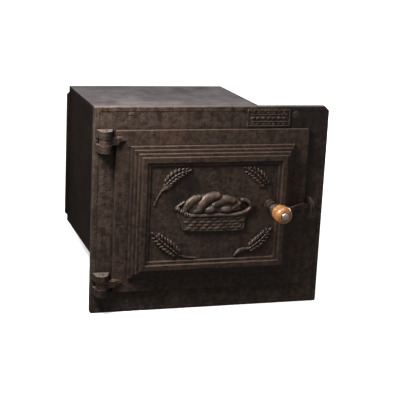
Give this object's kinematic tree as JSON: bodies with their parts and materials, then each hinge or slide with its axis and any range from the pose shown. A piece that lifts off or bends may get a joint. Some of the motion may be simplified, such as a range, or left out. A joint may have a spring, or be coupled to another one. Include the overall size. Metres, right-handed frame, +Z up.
{
  "type": "baking oven insert",
  "caption": "Built-in baking oven for a masonry stove: cast-iron front with a hinged relief door, cranked latch with a turned wooden knob, and a steel oven box behind.",
  "frame": {"origin": "middle of the plate's bearing rim, in the plane where it lies against the wall", "axes": "+X to the right seen from the front, +Y into the wall along the oven box, +Z up"},
  "size_m": [0.41, 0.553, 0.352],
  "materials": {
    "plate_iron": "stove-polished cast iron, fine grain, satin",
    "door_iron": "stove-polished cast iron, fine grain, worn ridges",
    "oven_sheet": "black heat-proof coated sheet steel, satin",
    "runner_steel": "dull dark steel",
    "fastener_steel": "dark oxidised steel",
    "hinge_steel": "dark steel, worn bright at the ends",
    "latch_iron": "blackened iron, rubbed edges",
    "knob_wood": "turned beech, clear varnish",
    "bright_metal": "polished dome nut",
    "ferrule_metal": "tarnished steel ferrule"
  },
  "bodies": {
    "oven": {"front_plate": "plate_iron", "flange_screws": "fastener_steel", "flange_washers": "fastener_steel", "flange_nuts": "fastener_steel", "top_wall": "oven_sheet", "bottom_wall": "oven_sheet", "left_wall": "oven_sheet", "right_wall": "oven_sheet", "back_wall": "oven_sheet", "left_lower_runner": "runner_steel", "left_upper_runner": "runner_steel", "right_lower_runner": "runner_steel", "right_upper_runner": "runner_steel", "left_runner_rivets": "fastener_steel", "right_runner_rivets": "fastener_steel", "upper_hinge_pin": "hinge_steel", "lower_hinge_pin": "hinge_steel", "upper_set_screw": "hinge_steel", "lower_set_screw": "hinge_steel", "keeper": "latch_iron", "keeper_nut": "fastener_steel"},
    "door": {"door": "door_iron"},
    "latch": {"thrust_washer": "latch_iron", "latch_spindle": "latch_iron", "latch_arm": "latch_iron", "knob_ferrule": "ferrule_metal", "knob": "knob_wood", "dome_nut": "bright_metal", "latch_washer": "fastener_steel", "latch_nut": "fastener_steel"}
  },
  "joints": [
    {"name": "door_hinge", "type": "hinge", "parent": "oven", "child": "door", "pos_m": [-0.1895, -0.026, 0], "axis": [0, 0, -1], "range_deg": [0, 150]},
    {"name": "latch_turn", "type": "hinge", "parent": "door", "child": "latch", "pos_m": [0.0985, -0.032, 0.0085], "axis": [0, 1, 0], "range_deg": [0, 30]}
  ]
}
